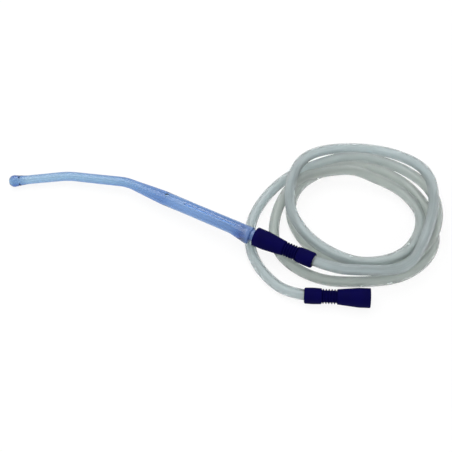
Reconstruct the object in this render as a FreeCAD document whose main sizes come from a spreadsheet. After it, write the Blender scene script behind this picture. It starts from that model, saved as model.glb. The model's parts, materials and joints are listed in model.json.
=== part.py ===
import FreeCAD, Part
import math
import os
import re
import Sketcher

# Suction set: a rigid bent wand with a bulb tip, its funnel connector,
# a coil of soft hose and the funnel connector at the pump's end.
# Millimetres, +Z up, origin under the middle of the wand on the table.

doc = FreeCAD.newDocument("SuctionSet")
sheet = doc.addObject("Spreadsheet::Sheet", "Sizes")

SIZES = [
    # hose
    ("hose_diameter", 10.0),
    ("hose_seat", 15.0),
    ("fit_gap", 0.05),
    # both funnel connectors, from the mouth to the hose
    ("mouth_run", 10.3),
    ("flare_run", 19.2),
    ("rib_run", 14.5),
    ("collar_run", 15.6),
    ("mouth_diameter", 17.9),
    ("waist_diameter", 13.9),
    ("rib_root_diameter", 10.9),
    ("rib_crest_diameter", 13.6),
    ("rib_width", 1.6),
    ("rib_start", 2.4),
    ("rib_pitch", 2.6),
    ("rib_count", 5),
    ("collar_diameter", 15.0),
    ("collar_rounding", 1.2),
    ("collar_swell", 0.3),
    ("mouth_chamfer", 0.4),
    ("rib_root_slope", 0.8),
    ("rib_sink", 0.3),
    ("port_diameter", 10.4),
    ("port_depth", 22.0),
    ("lumen_diameter", 6.4),
    # wand, from the seated end of its tail to the tip
    ("tail_seat", 20.0),
    ("tail_stub", 4.2),
    ("stub_diameter", 11.0),
    ("tail_bore", 7.4),
    ("tail_chamfer", 0.6),
    ("stub_slope", 0.3),
    ("grip_chamfer", 0.6),
    ("handle_run", 95.8),
    ("handle_diameter", 13.7),
    ("handle_waist_place", 66.0),
    ("handle_waist_diameter", 13.2),
    ("handle_bore", 10.4),
    ("bore_cone", 9.0),
    ("taper_run", 35.3),
    ("tube_diameter", 9.5),
    ("tip_diameter", 8.6),
    ("tube_bore", 5.6),
    ("rear_radius", 38.0),
    ("rear_angle", 19.5),
    ("neck_run", 44.8),
    ("front_radius", 62.0),
    ("front_angle", 14.6),
    ("tip_run", 30.5),
    ("bulb_cone", 11.4),
    ("bulb_diameter", 11.7),
    ("bulb_run", 18.4),
    ("bulb_centre", 13.6),
    ("bulb_mouth", 4.6),
    ("bulb_lip", 2.0),
    ("eye_diameter", 2.0),
    ("eye_place", 8.6),
    ("vent_diameter", 3.6),
    ("vent_place", 91.5),
    ("rail_start", 4.0),
    ("rail_run", 68.0),
    ("rail_width", 4.0),
    ("rail_height", 0.7),
    ("heel_run", 21.6),
    ("heel_angle", 7.0),
    ("heel_root_diameter", 13.1),
    ("heel_diameter", 16.2),
    ("heel_rounding", 3.3),
    # where the pieces lie on the table, before the move to the origin
    ("joint_x", 27.5),
    ("joint_y", -25.0),
    ("joint_height", 18.9),
    ("joint_heading", -29.2),
    ("pump_end_x", 70.4),
    ("pump_end_y", -81.7),
    ("pump_heading", -3.9),
    ("table_gap", 0.05),
    # coil of hose: its middle, the angle between two points of a turn
    ("coil_x", 124.0),
    ("coil_y", 10.5),
    ("coil_step", 30.0),
    # where the hose turns towards the coil, and its straight leads from the connectors
    ("first_bend_x", 33.5),
    ("first_bend_y", -57.5),
    ("second_bend_x", 21.0),
    ("second_bend_y", -28.5),
    ("wand_lead", 18.0),
    ("pump_lead", 13.0),
    ("corner_share", 0.45),
]
NAMES = [name for name, number in SIZES]
for row, (name, number) in enumerate(SIZES, start=1):
    sheet.set("A%d" % row, name)
    sheet.set("B%d" % row, str(number))
    sheet.setAlias("B%d" % row, name)
doc.recompute()


def as_cell(word):
    return "Sizes." + word.group() if word.group() in NAMES else word.group()


def sized(text):
    """The same sum with each size's name as a cell of the sheet."""
    return re.sub(r"[a-z_]+", as_cell, text)


def worth(text):
    return float(sheet.evalExpression(sized(text)))


def bind(thing, field, text):
    thing.setExpression(field, sized(text))


def plane(body, role):
    return [item for item in body.Origin.OriginFeatures if item.Role == role][0]


def new_sketch(body, name, role="XY_Plane"):
    sketch = body.newObject("Sketcher::SketchObject", name)
    sketch.AttachmentSupport = [(plane(body, role), "")]
    sketch.MapMode = "FlatFace"
    return sketch


def fix_point(sketch, edge, end, across, along):
    """Hold one end of an edge at a place bound to the sheet."""
    for kind, text, axis in (("DistanceX", across, -2), ("DistanceY", along, -1)):
        if text == "0":
            sketch.addConstraint(Sketcher.Constraint("PointOnObject", edge, end, axis))
        else:
            held = Sketcher.Constraint(kind, -1, 1, edge, end, worth(text))
            bind(sketch, "Constraints[%d]" % sketch.addConstraint(held), text)


def outline(sketch, corners, rounds=()):
    """A closed profile through corners; rounds gives the centre of each arc by the corner it starts at."""
    count = len(corners)
    spots = [FreeCAD.Vector(worth(x), worth(y), 0) for x, y in corners]
    edges = []
    for k in range(count):
        a = spots[k]
        b = spots[(k + 1) % count]
        if k in rounds:
            middle = FreeCAD.Vector(worth(rounds[k][0]), worth(rounds[k][1]), 0)
            circle = Part.Circle(middle, FreeCAD.Vector(0, 0, 1), (a - middle).Length)
            start = math.atan2(b.y - middle.y, b.x - middle.x)
            stop = math.atan2(a.y - middle.y, a.x - middle.x)
            edges.append(sketch.addGeometry(Part.ArcOfCircle(circle, start, stop)))
        else:
            edges.append(sketch.addGeometry(Part.LineSegment(a, b)))
    for k in range(count):
        after = (k + 1) % count
        tail = 1 if k in rounds else 2
        head = 2 if after in rounds else 1
        sketch.addConstraint(Sketcher.Constraint("Coincident", edges[k], tail, edges[after], head))
    for k in range(count):
        if k in rounds:
            fix_point(sketch, edges[k], 3, rounds[k][0], rounds[k][1])
        before = (k - 1) % count
        if before in rounds:
            # the arc's far end lies on the circle, so one measure holds it
            text = corners[k][1]
            held = Sketcher.Constraint("DistanceY", -1, 1, edges[before], 1, worth(text))
            bind(sketch, "Constraints[%d]" % sketch.addConstraint(held), text)
        else:
            head = 2 if k in rounds else 1
            fix_point(sketch, edges[k], head, corners[k][0], corners[k][1])


def turned(body, sketch, name, cut=False):
    """A full revolution of the profile about the sketch's own long axis."""
    feature = body.newObject("PartDesign::Groove" if cut else "PartDesign::Revolution", name)
    feature.Profile = (sketch, [""])
    feature.ReferenceAxis = (sketch, ["H_Axis"])
    feature.Angle = 360.0
    return feature


def hole(sketch, across, diameter):
    middle = FreeCAD.Vector(worth(across), 0, 0)
    edge = sketch.addGeometry(Part.Circle(middle, FreeCAD.Vector(0, 0, 1), worth(diameter) / 2))
    fix_point(sketch, edge, 3, across, "0")
    held = Sketcher.Constraint("Diameter", edge, worth(diameter))
    bind(sketch, "Constraints[%d]" % sketch.addConstraint(held), diameter)


def connector(label):
    """Soft funnel connector: X runs from the mouth to the hose's end of the collar."""
    body = doc.addObject("PartDesign::Body", label)
    body.Label = label
    ribs = "mouth_run + flare_run"
    collar = ribs + " + rib_run"
    end = collar + " + collar_run"
    shell = new_sketch(body, "ConnectorProfile")
    outline(shell, [
        ("0", "port_diameter / 2"),
        ("0", "mouth_diameter / 2 - mouth_chamfer"),
        ("mouth_chamfer", "mouth_diameter / 2"),
        ("mouth_run", "mouth_diameter / 2"),
        (ribs, "waist_diameter / 2"),
        (ribs + " + rib_root_slope", "rib_root_diameter / 2"),
        (collar + " - rib_root_slope", "rib_root_diameter / 2"),
        (collar, "collar_diameter / 2 - collar_swell"),
        (collar + " + collar_run / 2", "collar_diameter / 2"),
        (end + " - collar_rounding", "collar_diameter / 2 - collar_swell"),
        (end, "collar_diameter / 2 - collar_swell - collar_rounding"),
        (end, "hose_diameter / 2 + fit_gap"),
        (end + " - hose_seat", "hose_diameter / 2 + fit_gap"),
        (end + " - hose_seat", "lumen_diameter / 2"),
        ("port_depth", "lumen_diameter / 2"),
        ("port_depth", "port_diameter / 2"),
    ])
    turned(body, shell, "ConnectorShell")
    # one rounded rib, then the row of them
    first = "mouth_run + flare_run + rib_start"
    rib = new_sketch(body, "RibProfile")
    outline(rib, [
        (first + " - rib_width / 2", "rib_root_diameter / 2 - rib_sink"),
        (first + " - rib_width / 2", "rib_crest_diameter / 2 - rib_width / 3"),
        (first + " - rib_width / 6", "rib_crest_diameter / 2"),
        (first + " + rib_width / 6", "rib_crest_diameter / 2"),
        (first + " + rib_width / 2", "rib_crest_diameter / 2 - rib_width / 3"),
        (first + " + rib_width / 2", "rib_root_diameter / 2 - rib_sink"),
    ])
    one = turned(body, rib, "Rib")
    row = body.newObject("PartDesign::LinearPattern", "RibRow")
    row.Originals = [one]
    row.Direction = (rib, ["H_Axis"])
    bind(row, "Length", "rib_pitch * (rib_count - 1)")
    bind(row, "Occurrences", "rib_count")
    body.Tip = row
    return body


# Wand: X runs from the seated end of the tail to the tip. The bends lie in XY, towards +Y.
wand = doc.addObject("PartDesign::Body", "wand")
wand.Label = "wand"
heel_face = "tail_seat + tail_stub"
grip_end = heel_face + " + handle_run"
tube_start = grip_end + " + taper_run"

barrel = new_sketch(wand, "BarrelProfile")
outline(barrel, [
    ("0", "0"),
    ("0", "port_diameter / 2 - fit_gap - tail_chamfer"),
    ("tail_chamfer * 2", "port_diameter / 2 - fit_gap"),
    ("tail_seat + stub_slope", "port_diameter / 2 - fit_gap"),
    ("tail_seat + stub_slope * 2", "stub_diameter / 2"),
    (heel_face, "stub_diameter / 2"),
    (heel_face, "handle_diameter / 2 - grip_chamfer"),
    (heel_face + " + grip_chamfer", "handle_diameter / 2"),
    (heel_face + " + handle_waist_place", "handle_waist_diameter / 2"),
    (grip_end, "handle_diameter / 2"),
    (tube_start, "tube_diameter / 2"),
    (tube_start, "0"),
])
turned(wand, barrel, "Barrel")

# Heel: a rounded flare at the grip's end, on the side that the wand bends to.
heel = new_sketch(wand, "HeelProfile")
heel.AttachmentOffset = FreeCAD.Placement(
    FreeCAD.Vector(worth(heel_face + " + heel_run"), 0, 0),
    FreeCAD.Rotation(FreeCAD.Vector(0, 0, 1), 180 - worth("heel_angle")),
)
bind(heel, "AttachmentOffset.Base.x", heel_face + " + heel_run")
bind(heel, "AttachmentOffset.Rotation.Angle", "180 deg - heel_angle * 1 deg")
outline(heel, [
    ("0", "0"),
    ("0", "heel_root_diameter / 2"),
    ("heel_run - heel_rounding", "heel_diameter / 2"),
    ("heel_run", "heel_diameter / 2 - heel_rounding"),
    ("heel_run", "0"),
], {2: ("heel_run - heel_rounding", "heel_diameter / 2 - heel_rounding")})
turned(wand, heel, "Heel")

# Rail: a low flat ridge along the top of the grip.
rail = new_sketch(wand, "RailOutline")
corners = [
    (heel_face + " + rail_start", "-rail_width / 2"),
    (heel_face + " + rail_start + rail_run", "-rail_width / 2"),
    (heel_face + " + rail_start + rail_run", "rail_width / 2"),
    (heel_face + " + rail_start", "rail_width / 2"),
]
outline(rail, corners)
ridge = wand.newObject("PartDesign::Pad", "Rail")
ridge.Profile = (rail, [""])
bind(ridge, "Length", "handle_diameter / 2 + rail_height")

# Hollow of the tail, the grip and the taper.
hollow = new_sketch(wand, "HollowProfile")
outline(hollow, [
    ("0", "0"),
    ("0", "tail_bore / 2"),
    (heel_face, "tail_bore / 2"),
    (heel_face + " + bore_cone", "handle_bore / 2"),
    (grip_end + " - bore_cone", "handle_bore / 2"),
    (tube_start, "tube_bore / 2"),
    (tube_start, "0"),
])
turned(wand, hollow, "Hollow", cut=True)

# Thin tube: two bends the same way, joined by straight runs.
rear = math.radians(worth("rear_angle"))
both = rear + math.radians(worth("front_angle"))
flat = FreeCAD.Vector(0, 0, 1)
bend_start = FreeCAD.Vector(worth(tube_start), 0, 0)
rear_centre = bend_start + FreeCAD.Vector(0, worth("rear_radius"), 0)
rear_end = rear_centre + FreeCAD.Vector(math.sin(rear), -math.cos(rear), 0) * worth("rear_radius")
neck_end = rear_end + FreeCAD.Vector(math.cos(rear), math.sin(rear), 0) * worth("neck_run")
front_centre = neck_end + FreeCAD.Vector(-math.sin(rear), math.cos(rear), 0) * worth("front_radius")
front_end = front_centre + FreeCAD.Vector(math.sin(both), -math.cos(both), 0) * worth("front_radius")
tip_root = front_end + FreeCAD.Vector(math.cos(both), math.sin(both), 0) * worth("tip_run")
quarter = math.pi / 2
course = new_sketch(wand, "TubeCourse")
rear_circle = Part.Circle(rear_centre, flat, worth("rear_radius"))
front_circle = Part.Circle(front_centre, flat, worth("front_radius"))
bend_one = course.addGeometry(Part.ArcOfCircle(rear_circle, -quarter, rear - quarter))
run_one = course.addGeometry(Part.LineSegment(rear_end, neck_end))
bend_two = course.addGeometry(Part.ArcOfCircle(front_circle, rear - quarter, both - quarter))
run_two = course.addGeometry(Part.LineSegment(front_end, tip_root))
fix_point(course, bend_one, 1, tube_start, "0")
course.addConstraint(Sketcher.Constraint("Vertical", bend_one, 1, bend_one, 3))
course.addConstraint(Sketcher.Constraint("Tangent", bend_one, 2, run_one, 1))
course.addConstraint(Sketcher.Constraint("Tangent", run_one, 2, bend_two, 1))
course.addConstraint(Sketcher.Constraint("Tangent", bend_two, 2, run_two, 1))
for kind, edge, text, unit in (
    ("Radius", bend_one, "rear_radius", ""),
    ("Distance", run_one, "neck_run", ""),
    ("Radius", bend_two, "front_radius", ""),
    ("Distance", run_two, "tip_run", ""),
    ("Angle", run_one, "rear_angle", " * 1 deg"),
    ("Angle", run_two, "(rear_angle + front_angle)", " * 1 deg"),
):
    start = math.radians(worth(text)) if kind == "Angle" else worth(text)
    number = course.addConstraint(Sketcher.Constraint(kind, edge, start))
    bind(course, "Constraints[%d]" % number, text + unit)
rear_text = "rear_angle * 1 deg"
both_text = "(rear_angle + front_angle) * 1 deg"
tip_x = tube_start + " + rear_radius * sin(" + rear_text + ") + neck_run * cos(" + rear_text + ")"
tip_x += " + front_radius * (sin(" + both_text + ") - sin(" + rear_text + "))"
tip_x += " + tip_run * cos(" + both_text + ")"
tip_y = "rear_radius * (1 - cos(" + rear_text + ")) + neck_run * sin(" + rear_text + ")"
tip_y += " + front_radius * (cos(" + rear_text + ") - cos(" + both_text + "))"
tip_y += " + tip_run * sin(" + both_text + ")"
section = new_sketch(wand, "TubeSection", "YZ_Plane")
section.AttachmentOffset = FreeCAD.Placement(FreeCAD.Vector(0, 0, worth(tube_start)), FreeCAD.Rotation())
bind(section, "AttachmentOffset.Base.z", tube_start)
hole(section, "0", "tube_diameter")
hole(section, "0", "tube_bore")
last = new_sketch(wand, "TipSection", "YZ_Plane")
last.AttachmentOffset = FreeCAD.Placement(
    FreeCAD.Vector(tip_root.y, 0, tip_root.x),
    FreeCAD.Rotation(FreeCAD.Vector(0, 1, 0), math.degrees(both)),
)
bind(last, "AttachmentOffset.Base.x", tip_y)
bind(last, "AttachmentOffset.Base.z", tip_x)
bind(last, "AttachmentOffset.Rotation.Angle", both_text)
hole(last, "0", "tip_diameter")
hole(last, "0", "tube_bore")
doc.recompute()
tube = wand.newObject("PartDesign::AdditivePipe", "Tube")
tube.Profile = (section, [""])
tube.Spine = (course, ["Edge1", "Edge2", "Edge3", "Edge4"])
tube.Transformation = "Multisection"
tube.Sections = [(last, [""])]

# Bulb: a hollow cone and ball on the line of the last run, open at the front.
def on_tip(sketch):
    sketch.AttachmentOffset = FreeCAD.Placement(tip_root, FreeCAD.Rotation(flat, math.degrees(both)))
    bind(sketch, "AttachmentOffset.Base.x", tip_x)
    bind(sketch, "AttachmentOffset.Base.y", tip_y)
    bind(sketch, "AttachmentOffset.Rotation.Angle", both_text)


bulb = new_sketch(wand, "BulbProfile")
on_tip(bulb)
front_height = "sqrt((bulb_diameter / 2) ^ 2 - (bulb_run - bulb_centre) ^ 2)"
cone_height = "sqrt((bulb_diameter / 2) ^ 2 - (bulb_centre - bulb_cone) ^ 2)"
outline(bulb, [
    ("0", "tube_bore / 2"),
    ("0", "tip_diameter / 2"),
    ("bulb_cone", cone_height),
    ("bulb_run", front_height),
    ("bulb_run", "bulb_mouth / 2"),
    ("bulb_run - bulb_lip", "tube_bore / 2"),
], {2: ("bulb_centre", "0")})
turned(wand, bulb, "Bulb")

# Eyes: two pairs of side holes through the bulb's cone.
eye = new_sketch(wand, "EyeOutline")
on_tip(eye)
hole(eye, "eye_place", "eye_diameter")
doc.recompute()
before_eyes = wand.Shape.Volume
eyes = wand.newObject("PartDesign::Pocket", "EyePair")
eyes.Profile = (eye, [""])
eyes.Type = 1
eyes.Midplane = True
pairs = wand.newObject("PartDesign::PolarPattern", "EyePairs")
pairs.Originals = [eyes]
pairs.Axis = (eye, ["H_Axis"])
pairs.Angle = 90
pairs.Occurrences = 2
wand.Tip = pairs
doc.recompute()
after_eyes = wand.Shape.Volume

# Vent: the finger hole in the top wall of the grip.
vent = new_sketch(wand, "VentOutline")
hole(vent, heel_face + " + vent_place", "vent_diameter")
opening = wand.newObject("PartDesign::Pocket", "Vent")
opening.Profile = (vent, [""])
opening.Type = 1
opening.Reversed = True
wand.Tip = opening
doc.recompute()
print("eyes cut %.1f mm3" % (before_eyes - after_eyes))
print("vent cut %.1f mm3" % (after_eyes - wand.Shape.Volume))

wand_connector = connector("wand_connector")
pump_connector = connector("pump_connector")
doc.recompute()

# The wand lies with its bulb on the table and its grip lifted by the coil.
up = FreeCAD.Vector(0, 0, 1)
side = FreeCAD.Vector(0, 1, 0)
bulb_x = worth(tip_x) + worth("bulb_centre") * math.cos(both)
climb = worth("joint_height - bulb_diameter / 2")
rise = math.degrees(math.asin(climb / (bulb_x - worth("tail_seat"))))
joint = FreeCAD.Vector(worth("joint_x"), worth("joint_y"), worth("joint_height"))
joint_turn = FreeCAD.Rotation(up, worth("joint_heading")).multiply(FreeCAD.Rotation(side, -rise))
joint_line = joint_turn.multVec(FreeCAD.Vector(1, 0, 0))
wand_turn = FreeCAD.Rotation(up, worth("joint_heading") + 180).multiply(FreeCAD.Rotation(side, rise))
wand.Placement = FreeCAD.Placement(joint + joint_line * worth("tail_seat"), wand_turn)
wand_connector.Placement = FreeCAD.Placement(joint, joint_turn)

# The pump's connector lies on the end of its mouth's straight part and on the middle of its collar.
length = worth("mouth_run + flare_run + rib_run + collar_run")
mouth_height = worth("mouth_diameter / 2 + table_gap")
collar_height = worth("collar_diameter / 2 + table_gap")
dip = math.asin((mouth_height - collar_height) / worth("flare_run + rib_run + collar_run / 2"))
pump_dip = FreeCAD.Rotation(side, math.degrees(dip))
pump_turn = FreeCAD.Rotation(up, worth("pump_heading") + 180).multiply(pump_dip)
pump_line = pump_turn.multVec(FreeCAD.Vector(1, 0, 0))
pump_end_height = collar_height - worth("collar_run / 2") * math.sin(dip)
pump_end = FreeCAD.Vector(worth("pump_end_x"), worth("pump_end_y"), pump_end_height)
pump_connector.Placement = FreeCAD.Placement(pump_end - pump_line * length, pump_turn)

# Hose: the distance of each point from the coil's middle and its height, turn by turn,
# clockwise from the coil's left side, as the hose lies from the pump's end to the wand.
REACH = [
    [96.0, 79.0, 68.0, 70.0, 70.5, 76.5, 75.5, 76.0, 68.0, 57.5, 58.5, 59.5],
    [62.0, 62.5, 58.0, 58.0, 59.0, 62.5, 69.5, 81.0, 80.0, 74.5, 83.5, 88.0],
    [76.0, 64.0, 50.5, 45.0, 41.5, 50.0, 60.0, 62.5, 68.0, 62.5, 56.5, 57.5],
    [63.5, 67.0, 77.5, 80.0, 84.5, 80.5, 70.0, 69.0, 81.0, 72.5],
]
LIFT = [
    [5, 5, 5, 5, 5.5, 6.5, 19, 15.5, 6, 5, 5, 5],
    [5, 5, 5, 5, 5, 5, 5.5, 5, 5, 5, 5.5, 5],
    [5, 18, 13.5, 15.5, 12.5, 9.5, 9, 15.5, 22.5, 16, 15, 15],
    [18.5, 29.5, 13.5, 5, 5, 20.5, 27.5, 27, 19.5, 22.5],
]
route = [pump_end - pump_line * worth("hose_seat"), pump_end + pump_line * worth("pump_lead")]
for name in ("first_bend", "second_bend"):
    route.append(FreeCAD.Vector(worth(name + "_x"), worth(name + "_y"), worth("hose_diameter / 2")))
step = math.radians(worth("coil_step"))
bearing = math.pi
for reaches, lifts in zip(REACH, LIFT):
    for reach, lift in zip(reaches, lifts):
        out = reach / math.cos(step / 2)
        along = worth("coil_x") + out * math.cos(bearing)
        across = worth("coil_y") + out * math.sin(bearing)
        route.append(FreeCAD.Vector(along, across, lift))
        bearing -= step
route.append(joint + joint_line * (length + worth("wand_lead")))
route.append(joint + joint_line * (length - worth("hose_seat")))


def tube_shell(points, radius):
    """Solid tube along straight runs joined by tangent arcs; returns it, its length and the arcs' radii."""
    first = (points[1] - points[0]).normalize()
    ring = Part.Circle(points[0], first, radius).toShape()
    faces = [Part.Face(Part.Wire([ring]))]
    here = points[0]
    total = 0.0
    bends = []
    for before, corner, after in zip(points, points[1:], points[2:]):
        into = FreeCAD.Vector(corner - before)
        away = FreeCAD.Vector(after - corner)
        cut = worth("corner_share") * min(into.Length, away.Length)
        into.normalize()
        away.normalize()
        turn = into.getAngle(away)
        bend = cut / math.tan(turn / 2)
        start = corner - into * cut
        middle = start + (away - into * into.dot(away)).normalize() * bend
        run = start - here
        faces.append(ring.extrude(run))
        ring = ring.translated(run)
        axis = into.cross(away).normalize()
        faces.append(ring.revolve(middle, axis, math.degrees(turn)))
        ring = ring.rotated(middle, axis, math.degrees(turn))
        here = corner + away * cut
        total += run.Length + bend * turn
        bends.append(bend)
    run = points[-1] - here
    faces.append(ring.extrude(run))
    ring = ring.translated(run)
    total += run.Length
    faces.append(Part.Face(Part.Wire([ring])))
    shell = Part.makeShell(faces)
    shell.sewShape()
    return Part.makeSolid(shell), total, bends


hose = doc.addObject("Part::Feature", "hose")
hose.Label = "hose"
solid, hose_length, bends = tube_shell(route, worth("hose_diameter") / 2)
if solid.Volume < 0:
    solid.reverse()
hose.Shape = solid

# Everything moves together, so that the origin lies under the middle of the wand.
doc.recompute()
box = wand.Shape.optimalBoundingBox(False)
home = FreeCAD.Vector(-(box.XMin + box.XMax) / 2, -(box.YMin + box.YMax) / 2, 0)
pieces = [wand, wand_connector, pump_connector, hose]
for piece in pieces:
    piece.Placement = FreeCAD.Placement(home, FreeCAD.Rotation()).multiply(piece.Placement)
doc.recompute()

section_area = math.pi * worth("hose_diameter") ** 2 / 4
print("hose length %.1f mm" % hose_length)
print("hose volume %.1f of %.1f mm3" % (hose.Shape.Volume, section_area * hose_length))
print("hose bend radii", " ".join("%.0f" % bend for bend in bends))
print("wand box", wand.Shape.optimalBoundingBox(False))
print("home", home, "rise %.3f dip %.3f" % (rise, math.degrees(dip)))

for item in doc.Objects:
    if "Invalid" in item.State or "Error" in item.State:
        raise RuntimeError("%s failed: %s" % (item.Label, item.State))
os.makedirs("parts", exist_ok=True)
for piece in pieces:
    if piece.Shape.isNull() or not piece.Shape.isValid():
        raise RuntimeError("%s has no valid shape" % piece.Label)
for piece in pieces:
    piece.Shape.exportStep("parts/%s.step" % piece.Label)
    limits = piece.Shape.optimalBoundingBox(False)
    print(piece.Label, "volume %.1f mm3, solids %d" % (piece.Shape.Volume, len(piece.Shape.Solids)))
    print("    z from %.3f to %.3f" % (limits.ZMin, limits.ZMax))
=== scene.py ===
import json
import math
import bmesh
import bpy
from bpy.props import FloatProperty, FloatVectorProperty, IntProperty, PointerProperty
from mathutils import Matrix, Vector


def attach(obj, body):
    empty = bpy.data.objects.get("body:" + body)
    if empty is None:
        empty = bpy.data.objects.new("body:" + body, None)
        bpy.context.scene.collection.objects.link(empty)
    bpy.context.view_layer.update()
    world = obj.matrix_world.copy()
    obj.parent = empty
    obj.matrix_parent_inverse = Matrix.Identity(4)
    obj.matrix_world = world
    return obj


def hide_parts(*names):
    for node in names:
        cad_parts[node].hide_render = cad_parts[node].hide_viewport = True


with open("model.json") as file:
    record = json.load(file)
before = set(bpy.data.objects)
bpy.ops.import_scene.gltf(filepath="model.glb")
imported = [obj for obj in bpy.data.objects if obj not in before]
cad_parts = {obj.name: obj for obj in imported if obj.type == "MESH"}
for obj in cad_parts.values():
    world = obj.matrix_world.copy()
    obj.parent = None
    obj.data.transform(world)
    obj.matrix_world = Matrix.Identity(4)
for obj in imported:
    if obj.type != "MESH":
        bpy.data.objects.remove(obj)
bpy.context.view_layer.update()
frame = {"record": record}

bl_info = {
    "name": "Suction set",
    "version": (1, 0, 0),
    "blender": (4, 5, 0),
    "location": "View3D > Sidebar > Suction set",
    "description": "Dresses a bent suction wand, its hose and its two soft connectors",
    "category": "Object",
}

MM = 0.001
UP = Vector((0, 0, 1))
AHEAD = Vector((1, 0, 0))

# Places on the table before the move to the part's origin, in millimetres as in the part's source.
JOINT = Vector((27.5, -25.0, 18.9))
JOINT_HEADING = -29.2
PUMP_END = Vector((70.4, -81.7, 0.0))
PUMP_HEADING = -3.9
TABLE_GAP = 0.05
COIL = Vector((124.0, 10.5, 0.0))
COIL_STEP = 30.0
FIRST_BEND = Vector((33.5, -57.5, 5.0))
SECOND_BEND = Vector((21.0, -28.5, 5.0))
WAND_LEAD = 18.0
PUMP_LEAD = 13.0
HOSE_SEAT = 15.0

# Distance of each point of the hose from the coil's middle and its height in millimetres, turn by
# turn and clockwise from the coil's left side, as in the part's source.
REACH = (
    (96.0, 79.0, 68.0, 70.0, 70.5, 76.5, 75.5, 76.0, 68.0, 57.5, 58.5, 59.5),
    (62.0, 62.5, 58.0, 58.0, 59.0, 62.5, 69.5, 81.0, 80.0, 74.5, 83.5, 88.0),
    (76.0, 64.0, 50.5, 45.0, 41.5, 50.0, 60.0, 62.5, 68.0, 62.5, 56.5, 57.5),
    (63.5, 67.0, 77.5, 80.0, 84.5, 80.5, 70.0, 69.0, 81.0, 72.5),
)
LIFT = (
    (5, 5, 5, 5, 5.5, 6.5, 19, 15.5, 6, 5, 5, 5),
    (5, 5, 5, 5, 5, 5, 5.5, 5, 5, 5, 5.5, 5),
    (5, 18, 13.5, 15.5, 12.5, 9.5, 9, 15.5, 22.5, 16, 15, 15),
    (18.5, 29.5, 13.5, 5, 5, 20.5, 27.5, 27, 19.5, 22.5),
)

# Connector: lengths from its mouth, then radii and small steps.
MOUTH_RUN = 10.3
FLARE_RUN = 19.2
RIB_RUN = 14.5
RIB_START = 2.4
COLLAR_RUN = 15.6
CONNECTOR_LENGTH = MOUTH_RUN + FLARE_RUN + RIB_RUN + COLLAR_RUN
PORT_RADIUS = 5.2
PORT_DEPTH = 22.0
LUMEN_RADIUS = 3.2
SOCKET_RADIUS = 5.05
WAIST_RADIUS = 6.95
ROOT_RADIUS = 5.45
ROOT_SLOPE = 0.8
RIB_OUTLINE = ((-0.85, 5.45), (-0.6, 6.2), (-0.2, 6.8), (0.2, 6.8), (0.6, 6.2), (0.85, 5.45))
COLLAR_SWELL = 0.3
COLLAR_TAPER = 0.25
MOUTH_ROUNDING = 0.25
COLLAR_ROUNDING = 1.6
COLLAR_CLEAR = 6.0
FUNNEL_SIDES = 72

# Wand: lengths from the end of its tail, then the tail, the bore and the bulb.
TAIL_SEAT = 20.0
HEEL_FACE = 24.2
GRIP_END = 120.0
TUBE_START = 155.3
REAR_RADIUS = 38.0
REAR_ANGLE = math.radians(19.5)
NECK_RUN = 44.8
FRONT_RADIUS = 62.0
FRONT_ANGLE = math.radians(14.6)
TIP_RUN = 30.5
TIP_START = TUBE_START + REAR_RADIUS * REAR_ANGLE + NECK_RUN + FRONT_RADIUS * FRONT_ANGLE + TIP_RUN
TAIL_OUTLINE = ((0, 4.55), (1.2, 5.15), (20.3, 5.15), (20.6, 5.5), (24.1, 5.5))
FACE_ROUNDING = ((0.0, 0.6), (0.3, 0.18), (0.7, 0.0))
GRIP_WAIST = (90.2, 6.6)
TAIL_BORE = 3.7
GRIP_BORE = 5.2
TUBE_BORE = 2.8
BORE_TAPER = 9
CONE_RUN = 11.4
CONE_SWELL = 1.25
BULB_CENTRE = 13.6
BULB_FRONT = 4.8
LIP_OUTLINE = ((0.25, 3.0, "out"), (0.25, 2.6, "in"), (0.0, 2.35, "in"), (-2.4, TUBE_BORE, "in"))

# Places of the wand's rings along its tail and from the heel's face on, and how many follow.
TAIL_STOPS = (0, 0.6, 1.2, 10, 20.3, 20.6, 22.4, 24.1)
FACE_STOPS = (0.0, 0.1, 0.3, 0.5, 0.7, 1.0, 1.4, 1.8, 2.2, 2.6, 3.0, 3.4, 3.9)
TUBE_RINGS = 50
CONE_RINGS = 8
BALL_RINGS = 12

# The heel at the grip's end, the rail along its top, the vent and the bulb's eyes.
HEEL_RUN = 21.6
HEEL_SLOPE = math.tan(math.radians(7.0))
HEEL_ROOT = 6.55
HEEL_RADIUS = 8.1
HEEL_ROUNDING = 3.3
HEEL_BLEND = 0.25
RAIL_START = HEEL_FACE + 4.0
RAIL_END = RAIL_START + 68.0
RAIL_HALF = 2.0
RAIL_HALF_ANGLE = math.radians(16)
RAIL_HEIGHT = 0.7
RAIL_CROWN = 0.14
VENT_PLACE = HEEL_FACE + 91.5
VENT_RADIUS = 1.8
VENT_HEIGHT = 6.0
VENT_DEPTH = 8
EYE_PLACE = 8.6
EYE_RADIUS = 1.0
EYE_DEPTH = 20

# Edges sharper than this stay crisp on the hard wand, and on the soft connectors.
CRISP = math.radians(32)
SOFT_CRISP = math.radians(50)

# Points nearer than this merge; a rim to be rounded bends this much, and lies this near its place.
WELD = 0.0001
RIM_BEND = 0.3
RIM_NEAR = 0.01

# The wand's tints from its tube to its tail, and the milky plastic of the tail's end.
TUBE_TINT = (0.875, 0.93, 0.90)
GRIP_TINT = (0.63, 0.73, 0.85)
TAIL_TINT = (0.46, 0.55, 0.68)
CLOUD_TINT = (0.80, 0.86, 0.92)
MILKY_DARK = (0.14, 0.26, 0.58)
MILKY_PALE = (0.20, 0.35, 0.68)
WHITE = (1.0, 1.0, 1.0)
MAP_PER_METRE = 10

# The stage: the table, the surroundings, and the strip lamp that the rail mirrors to the camera.
TABLE_HALF = 6.0
TABLE_DROP = 0.0002
TABLE_SHOWN = 0.88
WORLD_STRENGTH = 0.85
STRIP_AWAY = 1.3
STRIP_TILT = math.radians(-1.5)
RAIL_MIDDLE = Vector((50.0, 0, 8.0))


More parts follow.
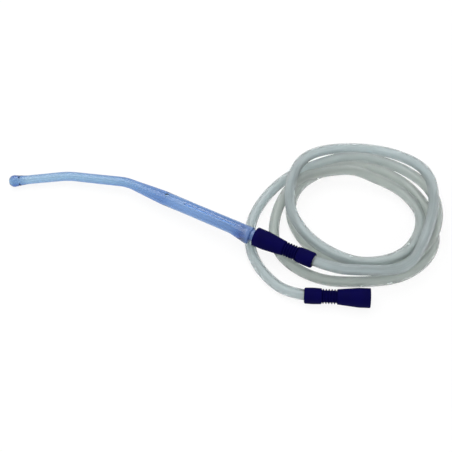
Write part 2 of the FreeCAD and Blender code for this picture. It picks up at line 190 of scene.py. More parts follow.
class SuctionHoseSizes(bpy.types.PropertyGroup):
    diameter: FloatProperty(
        name="Hose diameter", description="Outside diameter of the hose",
        default=0.010, subtype="DISTANCE")
    bore: FloatProperty(
        name="Hose bore", description="Inside diameter of the hose",
        default=0.0066, subtype="DISTANCE")
    sides: IntProperty(
        name="Sides", description="Points round the hose", default=32, min=12, max=96)
    colour: FloatVectorProperty(
        name="Hose colour", description="Cool milky colour near both ends",
        subtype="COLOR", size=3, default=(0.70, 0.78, 0.80), min=0, max=1)
    warm: FloatVectorProperty(
        name="Coil colour", description="Warmer grey of the coiled middle",
        subtype="COLOR", size=3, default=(0.68, 0.725, 0.69), min=0, max=1)
    shade: FloatVectorProperty(
        name="Streak colour", description="Colour of the drawn streaks",
        subtype="COLOR", size=3, default=(0.56, 0.625, 0.615), min=0, max=1)


class SuctionWandSizes(bpy.types.PropertyGroup):
    tube_diameter: FloatProperty(
        name="Tube diameter", description="Outside of the thin tube by the grip",
        default=0.0095, subtype="DISTANCE")
    tip_diameter: FloatProperty(
        name="Tip diameter", description="Outside of the thin tube by the bulb",
        default=0.0086, subtype="DISTANCE")
    grip_diameter: FloatProperty(
        name="Grip diameter", description="Outside of the grip", default=0.0137, subtype="DISTANCE")
    bulb_diameter: FloatProperty(
        name="Bulb diameter", description="Outside of the bulb", default=0.0117, subtype="DISTANCE")
    sides: IntProperty(
        name="Sides", description="Points round the wand", default=96, min=32, max=192)
    colour: FloatVectorProperty(
        name="Wand colour", description="Tint of the clear plastic",
        subtype="COLOR", size=3, default=(0.11, 0.45, 0.80), min=0, max=1)


class SuctionConnectorSizes(bpy.types.PropertyGroup):
    mouth_diameter: FloatProperty(
        name="Mouth diameter", description="Outside of the funnel's mouth",
        default=0.0179, subtype="DISTANCE")
    collar_diameter: FloatProperty(
        name="Collar diameter", description="Outside of the collar on the hose",
        default=0.0150, subtype="DISTANCE")
    ribs: IntProperty(
        name="Ribs", description="Rounded ribs between the funnel and the collar",
        default=5, min=1, max=9)
    rib_pitch: FloatProperty(
        name="Rib pitch", description="From one rib to the next", default=0.0026, subtype="DISTANCE")
    colour: FloatVectorProperty(
        name="Connector colour", description="Navy soft plastic",
        subtype="COLOR", size=3, default=(0.0012, 0.0008, 0.038), min=0, max=1)


class SuctionStageSizes(bpy.types.PropertyGroup):
    distance: FloatProperty(
        name="Camera distance", description="From the camera to the table",
        default=0.976, subtype="DISTANCE")
    elevation: FloatProperty(
        name="Camera elevation", description="Above the table",
        default=math.radians(55), subtype="ANGLE")
    field: FloatProperty(
        name="Field of view", description="Across the square picture",
        default=math.radians(24.92), subtype="ANGLE")
    floor_colour: FloatVectorProperty(
        name="Floor colour", description="Plain pale table",
        subtype="COLOR", size=3, default=(0.95, 0.95, 0.95), min=0, max=1)


def heading_turn(heading, pitch):
    """Turn that points X along a heading on the table, dipping by pitch."""
    return Matrix.Rotation(math.radians(heading), 3, "Z") @ Matrix.Rotation(pitch, 3, "Y")


def pump_placing(sizes):
    """Turn, collar end and direction of the pump's connector, which rests on its mouth and collar."""
    mouth_height = sizes.mouth_diameter / MM / 2 + TABLE_GAP
    collar_height = sizes.collar_diameter / MM / 2 + TABLE_GAP
    dip = math.asin((mouth_height - collar_height) / (FLARE_RUN + RIB_RUN + COLLAR_RUN / 2))
    turn = heading_turn(PUMP_HEADING + 180, dip)
    end = PUMP_END + UP * (collar_height - COLLAR_RUN / 2 * math.sin(dip))
    return turn, end, turn @ AHEAD


def tip_place():
    """End of the last straight run of the tube, in the wand's own plane, and its heading."""
    both = REAR_ANGLE + FRONT_ANGLE
    place = Vector((TUBE_START, 0, 0))
    place += Vector((math.sin(REAR_ANGLE), 1 - math.cos(REAR_ANGLE), 0)) * REAR_RADIUS
    place += Vector((math.cos(REAR_ANGLE), math.sin(REAR_ANGLE), 0)) * NECK_RUN
    bend = Vector((math.sin(both) - math.sin(REAR_ANGLE), math.cos(REAR_ANGLE) - math.cos(both), 0))
    place += bend * FRONT_RADIUS
    place += Vector((math.cos(both), math.sin(both), 0)) * TIP_RUN
    return place, both


def wand_rise(bulb_diameter):
    """Angle at which the wand lies with its bulb on the table."""
    place, both = tip_place()
    bulb_x = place.x + BULB_CENTRE * math.cos(both)
    return math.asin((JOINT.z - bulb_diameter / MM / 2) / (bulb_x - TAIL_SEAT))


def home():
    """Move from the places above to the part's frame, read from the pump port's mount."""
    turn, end, line = pump_placing(bpy.context.scene.suction_connector)
    mouth = end - line * CONNECTOR_LENGTH
    port = [mount for mount in frame["record"]["mounts"] if mount["name"] == "pump_port"][0]
    return Vector(port["pos_m"]) / MM - mouth


def in_part(turn, place):
    """Matrix from a piece's own millimetres to the part's metres."""
    return Matrix.Scale(MM, 4) @ Matrix.Translation(place + home()) @ turn.to_4x4()


def finished(name, bm, sharp=CRISP):
    """A bmesh as a smooth-shaded object at the origin that rides on the part."""
    mesh = bpy.data.meshes.new(name)
    bm.to_mesh(mesh)
    bm.free()
    mesh.shade_smooth()
    mesh.set_sharp_from_angle(angle=sharp)
    piece = bpy.data.objects.new(name, mesh)
    bpy.context.scene.collection.objects.link(piece)
    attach(piece, "root")
    return piece


class Finish:
    """A node tree whose nodes are made by one method, and whose numbers can be used in sums."""

    def __init__(self, owner, output="ShaderNodeOutputMaterial"):
        owner.use_nodes = True
        self.owner = owner
        self.tree = owner.node_tree
        self.tree.nodes.clear()
        self.output = self.tree.nodes.new(output)

    def feed(self, socket, value):
        """Links a number to a socket, or sets the socket to a plain value."""
        if isinstance(value, Number):
            self.tree.links.new(value.socket, socket)
        elif isinstance(value, tuple) and len(value) == 3 and socket.type == "RGBA":
            socket.default_value = (*value, 1.0)
        else:
            socket.default_value = value

    def node(self, kind, settings=None, out=0, **inputs):
        """A node with its settings made first; an input is named, or is i and its place."""
        node = self.tree.nodes.new(kind)
        for key, value in (settings or {}).items():
            setattr(node, key, value)
        for key, value in inputs.items():
            placed = key[0] == "i" and key[1:].isdigit()
            self.feed(node.inputs[int(key[1:]) if placed else key.replace("_", " ")], value)
        return Number(self, node.outputs[out])

    def mix(self, amount, first, second):
        """A colour between two."""
        return self.node("ShaderNodeMix", {"data_type": "RGBA"}, out=2, i0=amount, i6=first, i7=second)

    def surface(self, shader):
        """Ends the tree with its shader, and returns the material or world."""
        self.feed(self.output.inputs["Surface"], shader)
        return self.owner


class Number:
    """A socket's value that takes part in Python sums."""

    def __init__(self, finish, socket):
        self.finish = finish
        self.socket = socket

    def maths(self, operation, first, second, clamp=False):
        settings = {"operation": operation, "use_clamp": clamp}
        return self.finish.node("ShaderNodeMath", settings, i0=first, i1=second)

    def __add__(self, other):
        return self.maths("ADD", self, other)

    def __radd__(self, other):
        return self.maths("ADD", other, self)

    def __sub__(self, other):
        return self.maths("SUBTRACT", self, other)

    def __rsub__(self, other):
        return self.maths("SUBTRACT", other, self)

    def __mul__(self, other):
        return self.maths("MULTIPLY", self, other)

    def __rmul__(self, other):
        return self.maths("MULTIPLY", other, self)

    def over(self, low, high):
        """0 below low, 1 above high, straight between."""
        return self.finish.node("ShaderNodeMapRange", i0=self, i1=low, i2=high, i3=0.0, i4=1.0)


def noise(finish, where, scale, detail=2.0):
    """Soft noise on coordinates."""
    return finish.node("ShaderNodeTexNoise", Vector=where, Scale=scale, Detail=detail, Roughness=0.5)


def stretched(finish, where, scale):
    """The same coordinates with each axis scaled by its own factor."""
    return finish.node("ShaderNodeMapping", Vector=where, Scale=scale)


def hose_finish(sizes):
    """Milky soft plastic with drawn streaks along the hose; its map runs round and along."""
    finish = Finish(bpy.data.materials.new("milky soft plastic"))
    where = finish.node("ShaderNodeUVMap", {"uv_map": "along"})
    fine = noise(finish, stretched(finish, where, (30.0, 1.6, 1.0)), 1.0, 3.0)
    broad = noise(finish, stretched(finish, where, (4.0, 5.0, 1.0)), 1.0)
    streak = (fine * 0.65 + broad * 0.35).over(0.35, 0.68)
    along = finish.node("ShaderNodeSeparateXYZ", out="Y", Vector=where)
    coiled = along.over(1.5, 3.5) - along.over(11.5, 13.5)
    body = finish.mix(coiled, tuple(sizes.colour), tuple(sizes.warm))
    shader = finish.node(
        "ShaderNodeBsdfPrincipled",
        Base_Color=finish.mix(streak * 0.8, body, tuple(sizes.shade)),
        Roughness=0.2 + 0.1 * broad,
        Normal=finish.node("ShaderNodeBump", Strength=0.12, Distance=0.0003, Height=fine),
        IOR=1.42, Transmission_Weight=0.8, Specular_IOR_Level=0.3,
        Subsurface_Weight=1.0, Subsurface_Scale=0.012, Subsurface_Radius=(1.0, 1.0, 1.0))
    return finish.surface(shader)


def wand_finish(sizes):
    """Clear blue rigid plastic: its depth of colour comes from how thick it is."""
    finish = Finish(bpy.data.materials.new("clear blue plastic"))
    where = finish.node("ShaderNodeTexCoord", out="Object")
    along = finish.node("ShaderNodeSeparateXYZ", out="X", Vector=where)
    cloud = noise(finish, where, 60.0)
    flow = noise(finish, stretched(finish, where, (6.0, 40.0, 40.0)), 6.0)
    # the tint deepens from the tube to the grip, and again towards the tail
    tint = finish.mix(along.over(-0.03, 0.02), TUBE_TINT, GRIP_TINT)
    tint = finish.mix(along.over(0.05, 0.13), tint, TAIL_TINT)
    clear = finish.node(
        "ShaderNodeBsdfPrincipled",
        Base_Color=finish.mix(cloud * 0.15, tint, CLOUD_TINT),
        Roughness=0.05 + 0.04 * flow + 0.2 * along.over(0.096, 0.104),
        Normal=finish.node("ShaderNodeBump", Strength=0.005, Distance=0.0003, Height=flow),
        IOR=1.47, Transmission_Weight=0.97)
    # the thick end at the tail is moulded milkier than the rest
    milky = finish.node(
        "ShaderNodeBsdfPrincipled",
        Base_Color=finish.mix(cloud, MILKY_DARK, MILKY_PALE), Roughness=0.15)
    depth = finish.node("ShaderNodeVolumeAbsorption", Color=tuple(sizes.colour), Density=360.0)
    finish.feed(finish.output.inputs["Volume"], depth)
    milkiness = 0.5 * along.over(0.094, 0.101)
    return finish.surface(finish.node("ShaderNodeMixShader", i0=milkiness, i1=clear, i2=milky))


def connector_finish(sizes):
    """Navy soft plastic with a fine moulded grain."""
    finish = Finish(bpy.data.materials.new("navy soft plastic"))
    where = finish.node("ShaderNodeTexCoord", out="Object")
    grain = noise(finish, where, 1800.0)
    cloud = noise(finish, where, 90.0)
    pale = tuple(min(1.0, part * 1.3) for part in sizes.colour)
    shader = finish.node(
        "ShaderNodeBsdfPrincipled",
        Base_Color=finish.mix(cloud.over(0.3, 0.7), tuple(sizes.colour), pale),
        Roughness=0.55 + 0.14 * cloud,
        Normal=finish.node("ShaderNodeBump", Strength=0.15, Distance=0.0001, Height=grain),
        Specular_IOR_Level=0.03)
    return finish.surface(shader)


def shown_plainly(finish):
    """At least 1 for rays that show the background: from the camera, mirrored, or through plastic."""
    camera, mirrored, through = (
        finish.node("ShaderNodeLightPath", out=kind)
        for kind in ("Is Camera Ray", "Is Glossy Ray", "Is Transmission Ray"))
    return camera + mirrored + through


def table_finish(sizes):
    """Plain pale table that looks white to the camera and keeps a soft shadow."""
    finish = Finish(bpy.data.materials.new("pale table"))
    shown = shown_plainly(finish)
    amount = shown.maths("MULTIPLY", shown, TABLE_SHOWN, clamp=True)
    plain = finish.node("ShaderNodeBsdfDiffuse", Color=tuple(sizes.floor_colour))
    white = finish.node("ShaderNodeEmission", Color=WHITE, Strength=1.0)
    return finish.surface(finish.node("ShaderNodeMixShader", i0=amount, i1=plain, i2=white))


def studio_world():
    """White surroundings, a little weaker as light than as they show."""
    finish = Finish(bpy.data.worlds.new("studio"), "ShaderNodeOutputWorld")
    shown = shown_plainly(finish)
    plain = finish.node("ShaderNodeBackground", Color=WHITE, Strength=WORLD_STRENGTH)
    white = finish.node("ShaderNodeBackground", Color=WHITE, Strength=1.0)
    return finish.surface(finish.node("ShaderNodeMixShader", i0=shown, i1=plain, i2=white))


class SUCTION_OT_stage(bpy.types.Operator):
    """Pale table, soft light and the camera"""

    bl_idname = "suction.stage"
    bl_label = "Stage"

    def execute(self, context):
        sizes = context.scene.suction_stage
        context.scene.view_settings.view_transform = "Standard"
        context.scene.world = studio_world()
        self.lay_table(context, sizes)
        target = home() * MM
        target.z = 0.0
        camera = self.set_camera(context, sizes, target)
        self.hang_lamps(context, target, camera.location)
        return {"FINISHED"}

    def lay_table(self, context, sizes):
        bm = bmesh.new()
        bmesh.ops.create_grid(bm, x_segments=1, y_segments=1, size=TABLE_HALF)
        mesh = bpy.data.meshes.new("table")
        bm.to_mesh(mesh)
        bm.free()
        mesh.materials.append(table_finish(sizes))
        table = bpy.data.objects.new("table", mesh)
        table.location.z = -TABLE_DROP
        context.scene.collection.objects.link(table)

    def set_camera(self, context, sizes, target):
        camera = bpy.data.objects.new("camera", bpy.data.cameras.new("camera"))
        camera.data.angle = sizes.field
        camera.data.clip_start = 0.01
        away = Vector((0, -math.cos(sizes.elevation), math.sin(sizes.elevation)))
        camera.location = target + away * sizes.distance
        camera.rotation_euler = (math.pi / 2 - sizes.elevation, 0, 0)
        context.scene.collection.objects.link(camera)
        context.scene.camera = camera
        return camera

    def hang_lamps(self, context, target, eye):
        """Lamps whose long sides lie along the wand; the rail on its grip mirrors the strip."""
        rise = wand_rise(context.scene.suction_wand.bulb_diameter)
        turn = heading_turn(JOINT_HEADING + 180, rise)
        along = turn @ AHEAD
        rail = in_part(turn, JOINT) @ RAIL_MIDDLE
        seen_from = (eye - rail).normalized()
        top = turn @ Matrix.Rotation(STRIP_TILT, 3, "X") @ UP
        strip = rail + (2 * seen_from.dot(top) * top - seen_from) * STRIP_AWAY - target
        for name, place, power, width, depth in (
            ("key", Vector((-0.6, 0.3, 1.3)), 8.0, 1.2, 1.2),
            ("fill", Vector((0.9, -0.7, 1.0)), 3.0, 1.2, 1.2),
            ("strip", strip, 2.6, 1.2, 0.16),
        ):
            lamp = bpy.data.objects.new(name, bpy.data.lights.new(name, "AREA"))
            lamp.data.shape = "RECTANGLE"
            lamp.data.energy = power
            lamp.data.size = width
            lamp.data.size_y = depth
            lamp.location = target + place
            back = (place - along * place.dot(along)).normalized()
            facing = Matrix((along, back.cross(along), back)).transposed()
            lamp.rotation_euler = facing.to_euler()
            context.scene.collection.objects.link(lamp)


def hose_route():
    """The hose's points in metres, from the pump's connector round the coil to the wand's."""
    scene = bpy.context.scene
    turn, end, line = pump_placing(scene.suction_connector)
    points = [end - line * HOSE_SEAT, end + line * PUMP_LEAD, FIRST_BEND, SECOND_BEND]
    step = math.radians(COIL_STEP)
    bearing = math.pi
    for reaches, lifts in zip(REACH, LIFT):
        for reach, lift in zip(reaches, lifts):
            out = reach / math.cos(step / 2)
            points.append(COIL + Vector((out * math.cos(bearing), out * math.sin(bearing), lift)))
            bearing -= step
    line = heading_turn(JOINT_HEADING, -wand_rise(scene.suction_wand.bulb_diameter)) @ AHEAD
    points.append(JOINT + line * (CONNECTOR_LENGTH + WAND_LEAD))
    points.append(JOINT + line * (CONNECTOR_LENGTH - HOSE_SEAT))
    shift = home()
    return [(point + shift) * MM for point in points]


def smooth_line(points):
    """Points of the smooth NURBS line that has the route as its control points."""
    curve = bpy.data.curves.new("hose line", "CURVE")
    curve.dimensions = "3D"
    spline = curve.splines.new("NURBS")
    spline.points.add(len(points) - 1)
    for place, point in zip(spline.points, points):
        place.co = (*point, 1.0)
    spline.order_u = 3
    spline.use_endpoint_u = True
    curve.resolution_u = 10
    line = bpy.data.objects.new("hose line", curve)
    mesh = bpy.data.meshes.new_from_object(line)
    path = [vertex.co.copy() for vertex in mesh.vertices]
    bpy.data.meshes.remove(mesh)
    bpy.data.objects.remove(line)
    bpy.data.curves.remove(curve)
    return path


def carried_frames(path):
    """A frame at each point of a path, turned along it without twist: X runs along the path."""
    frames = []
    ahead = (path[1] - path[0]).normalized()
    side = ahead.orthogonal().normalized()
    for k, point in enumerate(path):
        new = (path[min(k + 1, len(path) - 1)] - path[max(k - 1, 0)]).normalized()
        side = ahead.rotation_difference(new) @ side
        ahead = new
        side = (side - ahead * side.dot(ahead)).normalized()
        frames.append(Matrix((ahead, side, ahead.cross(side))).transposed().to_4x4())
        frames[-1].translation = point
    return frames


def angle_round(frame_there, vertex):
    """Angle of a vertex round the X axis of a frame, from its Y."""
    local = frame_there.inverted() @ vertex.co
    return math.atan2(local.z, local.y)


def ring_edges(ring):
    """Edges that join the vertices of a ring to each other, in a fixed order."""
    inside = set(ring)
    found = dict.fromkeys(edge for vertex in ring for edge in vertex.link_edges)
    return [edge for edge in found if inside.issuperset(edge.verts)]


def swept(bm, frames, reach, sides):
    """Extrudes a ring from frame to frame, out along a wall and back along its inside, and joins
    the ends. reach(k, angle) is the ring's radius at frame k. Returns the rings."""
    upright = Matrix.Rotation(math.pi / 2, 4, "Y")
    made = bmesh.ops.create_circle(
        bm, cap_ends=False, segments=sides, radius=1.0, matrix=frames[0] @ upright)
    ring = made["verts"]
    rings = []
    before = frames[0]
    for k, here in enumerate(frames):
        if rings:
            made = bmesh.ops.extrude_edge_only(bm, edges=ring_edges(ring))
            ring = [item for item in made["geom"] if isinstance(item, bmesh.types.BMVert)]
        for vertex in ring:
            angle = angle_round(before, vertex)
            size = reach(k, angle)
            vertex.co = here @ Vector((0, size * math.cos(angle), size * math.sin(angle)))
        rings.append(ring)
        before = here
    ends = set(rings[0] + rings[-1])
    open_edges = [edge for edge in bm.edges if edge.is_boundary and ends.issuperset(edge.verts)]
    bmesh.ops.bridge_loops(bm, edges=open_edges)
    return rings


def map_along(bm, rings, frames, travelled):
    """Gives a sweep a map that runs round it from 0 to 1, and along it by 1 every 0.1 m."""
    places = {}
    for ring, there, distance in zip(rings, frames, travelled):
        for vertex in ring:
            places[vertex] = (angle_round(there, vertex) / math.tau % 1.0, distance)
    layer = bm.loops.layers.uv.new("along")
    for face in bm.faces:
        spots = [places[loop.vert] for loop in face.loops]
        wraps = max(spot[0] for spot in spots) - min(spot[0] for spot in spots) > 0.5
        for loop, (around, along) in zip(face.loops, spots):
            turn = 1.0 if wraps and around < 0.5 else 0.0
            loop[layer].uv = (around + turn, along * MAP_PER_METRE)


class SUCTION_OT_hose(bpy.types.Operator):
    """Soft hose in its loose coil"""

    bl_idname = "suction.hose"
    bl_label = "Hose"

    def execute(self, context):
        sizes = context.scene.suction_hose
        path = smooth_line(hose_route())
        distances = [0.0]
        for a, b in zip(path, path[1:]):
            distances.append(distances[-1] + (b - a).length)
        # out along the wall's outside and back along its bore
        frames = carried_frames(path)
        frames += frames[::-1]
        radii = [sizes.diameter / 2] * len(path) + [sizes.bore / 2] * len(path)
        bm = bmesh.new()
        rings = swept(bm, frames, lambda k, angle: radii[k], sizes.sides)
        bmesh.ops.recalc_face_normals(bm, faces=bm.faces)
        map_along(bm, rings, frames, distances + distances[::-1])
        piece = finished("milky_hose", bm)
        piece.data.materials.append(hose_finish(sizes))
        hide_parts("hose")
        return {"FINISHED"}


def round_rim(bm, at, offset, segments, beyond=0.0):
    """Rounds the sharp edges that lie at one place along X, further out than a radius."""
    rim = [
        edge for edge in bm.edges
        if edge.is_manifold and edge.calc_face_angle(0) > RIM_BEND
        and all(abs(vertex.co.x - at) < RIM_NEAR for vertex in edge.verts)
        and edge.verts[0].co.yz.length > beyond]
    bmesh.ops.bevel(
        bm, geom=rim, offset=offset, affect="EDGES", segments=segments, profile=0.5, material=-1)


def funnel(sizes):
    """Soft funnel connector turned about X from its mouth at zero."""
    mouth = sizes.mouth_diameter / MM / 2
    collar_radius = sizes.collar_diameter / MM / 2
    pitch = sizes.rib_pitch / MM
    ribs = MOUTH_RUN + FLARE_RUN
    collar = ribs + RIB_RUN
    end = collar + COLLAR_RUN
    outline = [(0, PORT_RADIUS), (0, mouth), (MOUTH_RUN, mouth), (ribs, WAIST_RADIUS)]
    outline.append((ribs + ROOT_SLOPE, ROOT_RADIUS))
    for k in range(sizes.ribs):
        middle = ribs + RIB_START + pitch * k
        outline += [(middle + step, out) for step, out in RIB_OUTLINE]
    outline += [(collar - ROOT_SLOPE, ROOT_RADIUS), (collar, collar_radius - COLLAR_SWELL)]
    outline += [(collar + COLLAR_RUN / 2, collar_radius), (end, collar_radius - COLLAR_TAPER)]
    outline += [(end, SOCKET_RADIUS), (end - HOSE_SEAT, SOCKET_RADIUS), (end - HOSE_SEAT, LUMEN_RADIUS)]
    outline += [(PORT_DEPTH, LUMEN_RADIUS), (PORT_DEPTH, PORT_RADIUS)]
    bm = bmesh.new()
    vertices = [bm.verts.new((along, out, 0)) for along, out in outline]
    edges = [bm.edges.new((a, b)) for a, b in zip(vertices, vertices[1:] + vertices[:1])]
    bmesh.ops.spin(
        bm, geom=vertices + edges, cent=(0, 0, 0), axis=AHEAD, dvec=(0, 0, 0), angle=math.tau,
        steps=FUNNEL_SIDES, use_merge=True, use_duplicate=False)
    bmesh.ops.remove_doubles(bm, verts=bm.verts, dist=WELD)
    bmesh.ops.recalc_face_normals(bm, faces=bm.faces)
    round_rim(bm, 0.0, MOUTH_ROUNDING, segments=3)
    round_rim(bm, end, COLLAR_ROUNDING, segments=6, beyond=COLLAR_CLEAR)
    return bm


class SUCTION_OT_connectors(bpy.types.Operator):
    """The two soft funnel connectors"""

    bl_idname = "suction.connectors"
    bl_label = "Connectors"

    def execute(self, context):
        sizes = context.scene.suction_connector
        finish = connector_finish(sizes)
        turn, end, line = pump_placing(sizes)
        rise = wand_rise(context.scene.suction_wand.bulb_diameter)
        for name, node, matrix in (
            ("wand_funnel", "wand_connector", in_part(heading_turn(JOINT_HEADING, -rise), JOINT)),
            ("pump_funnel", "pump_connector", in_part(turn, end - line * CONNECTOR_LENGTH)),
        ):
            bm = funnel(sizes)
            bmesh.ops.transform(bm, matrix=matrix, verts=bm.verts)
            piece = finished(name, bm, sharp=SOFT_CRISP)
            piece.data.materials.append(finish)
            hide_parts(node)
        return {"FINISHED"}


def wand_frame(distance):
    """Frame on the wand's centreline at a distance from the tail's end: X along it, Z up."""
    if distance <= TUBE_START:
        return Matrix.Translation((distance, 0, 0))
    left = distance - TUBE_START
    place = Vector((TUBE_START, 0, 0))
    heading = 0.0
    bends = ((REAR_RADIUS, REAR_ANGLE, NECK_RUN), (FRONT_RADIUS, FRONT_ANGLE, math.inf))
    for radius, angle, run in bends:
        arc = min(left, radius * angle)
        ahead = heading + arc / radius
        bend = (math.sin(ahead) - math.sin(heading), math.cos(heading) - math.cos(ahead), 0)
        place += Vector(bend) * radius
        heading = ahead
        left -= arc
        straight = min(left, run)
        place += Vector((math.cos(heading), math.sin(heading), 0)) * straight
        left -= straight
        if left <= 0:
            break
    return Matrix.Translation(place) @ Matrix.Rotation(heading, 4, "Z")


def straight_between(knots, at):
    """Height of a line through knots of (place, height)."""
    for (a, low), (b, high) in zip(knots, knots[1:]):
        if a <= at <= b and b > a:
            return low + (high - low) * (at - a) / (b - a)
    return knots[-1][1]


def heel_reach(distance, angle, barrel):
    """Radius of the grip where the heel's tilted cone stands out of it."""
    back = HEEL_FACE + HEEL_RUN - distance
    if back <= 0 or back > HEEL_RUN:
        return barrel
    cone = HEEL_RUN - HEEL_ROUNDING
    radius = HEEL_ROOT + (HEEL_RADIUS - HEEL_ROOT) * min(1.0, back / cone)
    if back > cone:
        rounding = math.sqrt(max(0.0, HEEL_ROUNDING ** 2 - (back - cone) ** 2))
        radius = HEEL_RADIUS - HEEL_ROUNDING + rounding
    offset = back * HEEL_SLOPE
    inside = radius ** 2 - (offset * math.sin(angle)) ** 2
    heel = offset * math.cos(angle) + math.sqrt(max(0.0, inside))
    if heel <= barrel - 1:
        return barrel
    # the larger of the two, blended where they meet
    blend = math.sqrt((barrel - heel) ** 2 + HEEL_BLEND ** 2) - HEEL_BLEND * 0.3
    return (barrel + heel + blend) / 2


def rail_reach(angle, grip):
    """Radius at the crowned top of the rail."""
    crest = (grip + RAIL_HEIGHT) / math.sin(angle)
    return crest - RAIL_CROWN * (crest * math.cos(angle) / RAIL_HALF) ** 2


def evenly(start, step, count):
    """Places that lie one step apart."""
    return [start + step * k for k in range(count)]


def wand_stops():
    """Places along the wand, from the tail's end, where its sweep has a ring."""
    stops = list(TAIL_STOPS) + [HEEL_FACE + step for step in FACE_STOPS]
    stops += [RAIL_START, RAIL_START + 0.5] + evenly(RAIL_START + 1.5, 1.5, 12)
    stops += evenly(RAIL_START + 20, 3, 16) + [RAIL_END - 0.5, RAIL_END]
    stops += evenly(RAIL_END + 3, 3, 7) + evenly(GRIP_END, 2.4, 15)
    tube = TIP_START - TUBE_START
    return stops + [TUBE_START + tube * step / TUBE_RINGS for step in range(TUBE_RINGS + 1)]


def wand_stations(sizes):
    """Place, radius and wall of each ring: out from the tail to the bulb, and back down the bore."""
    tube = sizes.tube_diameter / MM / 2
    neck = sizes.tip_diameter / MM / 2
    grip = sizes.grip_diameter / MM / 2
    ball = sizes.bulb_diameter / MM / 2
    outer = list(TAIL_OUTLINE) + [(HEEL_FACE + step, grip - less) for step, less in FACE_ROUNDING]
    outer += [GRIP_WAIST, (GRIP_END, grip), (TUBE_START, tube), (TIP_START, neck)]
    inner = [(0, TAIL_BORE), (HEEL_FACE, TAIL_BORE), (HEEL_FACE + BORE_TAPER, GRIP_BORE)]
    inner += [(GRIP_END - BORE_TAPER, GRIP_BORE), (TUBE_START, TUBE_BORE), (TIP_START, TUBE_BORE)]
    stops = wand_stops()
    stations = [(at, straight_between(outer, at), "out") for at in stops]
    # the bulb's cone swells out to meet its ball
    meeting = math.sqrt(ball ** 2 - (BULB_CENTRE - CONE_RUN) ** 2)
    for step in range(1, CONE_RINGS + 1):
        part = step / CONE_RINGS
        radius = neck + (meeting - neck) * part ** CONE_SWELL
        stations.append((TIP_START + CONE_RUN * part, radius, "out"))
    first = math.atan2(meeting, CONE_RUN - BULB_CENTRE)
    last = math.acos(BULB_FRONT / ball)
    centre = TIP_START + BULB_CENTRE
    for step in range(1, BALL_RINGS + 1):
        angle = first + (last - first) * step / BALL_RINGS
        stations.append((centre + ball * math.cos(angle), ball * math.sin(angle), "out"))
    front = centre + BULB_FRONT
    stations += [(front + step, radius, wall) for step, radius, wall in LIP_OUTLINE]
    back = [at for at in reversed(stops) if at < TIP_START]
    return stations + [(at, straight_between(inner, at), "in") for at in back]


def hole_cutters(matrix):
    """Round cutters for the vent in the top of the grip and the two pairs of eyes in the bulb."""
    bm = bmesh.new()
    vent = Matrix.Translation((VENT_PLACE, 0, VENT_HEIGHT))
    bmesh.ops.create_cone(
        bm, cap_ends=True, segments=32, radius1=VENT_RADIUS, radius2=VENT_RADIUS,
        depth=VENT_DEPTH, matrix=matrix @ vent)
    eye = wand_frame(TIP_START) @ Matrix.Translation((EYE_PLACE, 0, 0))
    for turn in (0, math.pi / 2):
        bmesh.ops.create_cone(
            bm, cap_ends=True, segments=20, radius1=EYE_RADIUS, radius2=EYE_RADIUS,
            depth=EYE_DEPTH, matrix=matrix @ eye @ Matrix.Rotation(turn, 4, "X"))
    mesh = bpy.data.meshes.new("cutters")
    bm.to_mesh(mesh)
    bm.free()
    cutters = bpy.data.objects.new("cutters", mesh)
    bpy.context.scene.collection.objects.link(cutters)
    return cutters


def drill(piece, cutters):
    """Cuts a piece's holes for good, and removes the cutters."""
    cut = piece.modifiers.new("holes", "BOOLEAN")
    cut.operation = "DIFFERENCE"
    cut.solver = "EXACT"
    cut.object = cutters
    bpy.context.view_layer.update()
    graph = bpy.context.evaluated_depsgraph_get()
    holed = bpy.data.meshes.new_from_object(piece.evaluated_get(graph))
    piece.modifiers.clear()
    piece.data = holed
    holed.name = piece.name
    bpy.data.objects.remove(cutters)
    holed.set_sharp_from_angle(angle=CRISP)
    holed.materials.clear()


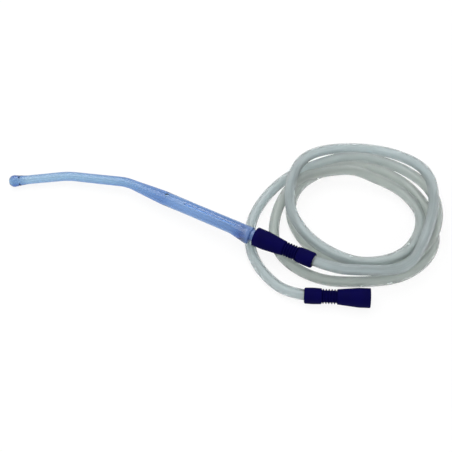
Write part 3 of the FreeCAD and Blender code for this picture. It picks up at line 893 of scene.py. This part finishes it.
class SUCTION_OT_wand(bpy.types.Operator):
    """Clear blue wand with its bulb, bends, grip, rail, heel and tail"""

    bl_idname = "suction.wand"
    bl_label = "Wand"

    def execute(self, context):
        sizes = context.scene.suction_wand
        grip = sizes.grip_diameter / MM / 2
        stations = wand_stations(sizes)

        def reach(k, angle):
            at, radius, wall = stations[k]
            if wall == "in":
                return radius
            if HEEL_FACE <= at <= HEEL_FACE + HEEL_RUN:
                radius = heel_reach(at, angle, radius)
            if RAIL_START < at < RAIL_END and abs(angle - math.pi / 2) < RAIL_HALF_ANGLE:
                radius = max(radius, rail_reach(angle, grip))
            return radius

        bm = bmesh.new()
        swept(bm, [wand_frame(at) for at, radius, wall in stations], reach, sizes.sides)
        bmesh.ops.remove_doubles(bm, verts=bm.verts, dist=WELD)
        bmesh.ops.recalc_face_normals(bm, faces=bm.faces)
        rise = wand_rise(sizes.bulb_diameter)
        line = heading_turn(JOINT_HEADING, -rise) @ AHEAD
        matrix = in_part(heading_turn(JOINT_HEADING + 180, rise), JOINT + line * TAIL_SEAT)
        bmesh.ops.transform(bm, matrix=matrix, verts=bm.verts)
        piece = finished("clear_wand", bm)
        drill(piece, hole_cutters(matrix))
        piece.data.materials.append(wand_finish(sizes))
        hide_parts("wand")
        return {"FINISHED"}


class SUCTION_PT_panel(bpy.types.Panel):
    """Sizes, colours and pieces of the suction set"""

    bl_idname = "SUCTION_PT_panel"
    bl_label = "Suction set"
    bl_space_type = "VIEW_3D"
    bl_region_type = "UI"
    bl_category = "Suction set"

    def draw(self, context):
        for group, operator in (
            ("suction_stage", "suction.stage"),
            ("suction_connector", "suction.connectors"),
            ("suction_hose", "suction.hose"),
            ("suction_wand", "suction.wand"),
        ):
            box = self.layout.box()
            sizes = getattr(context.scene, group)
            for name in sizes.bl_rna.properties.keys():
                if name not in ("rna_type", "name"):
                    box.prop(sizes, name)
            box.operator(operator)


GROUPS = (
    ("suction_stage", SuctionStageSizes),
    ("suction_connector", SuctionConnectorSizes),
    ("suction_hose", SuctionHoseSizes),
    ("suction_wand", SuctionWandSizes),
)
TOOLS = (
    SUCTION_OT_stage, SUCTION_OT_connectors, SUCTION_OT_hose, SUCTION_OT_wand, SUCTION_PT_panel)


def register():
    for name, group in GROUPS:
        bpy.utils.register_class(group)
        setattr(bpy.types.Scene, name, PointerProperty(type=group))
    for tool in TOOLS:
        bpy.utils.register_class(tool)


def unregister():
    for tool in reversed(TOOLS):
        bpy.utils.unregister_class(tool)
    for name, group in reversed(GROUPS):
        delattr(bpy.types.Scene, name)
        bpy.utils.unregister_class(group)


def main():
    register()
    bpy.ops.suction.stage()
    bpy.ops.suction.connectors()
    bpy.ops.suction.hose()
    bpy.ops.suction.wand()


if __name__ == "__main__":
    main()
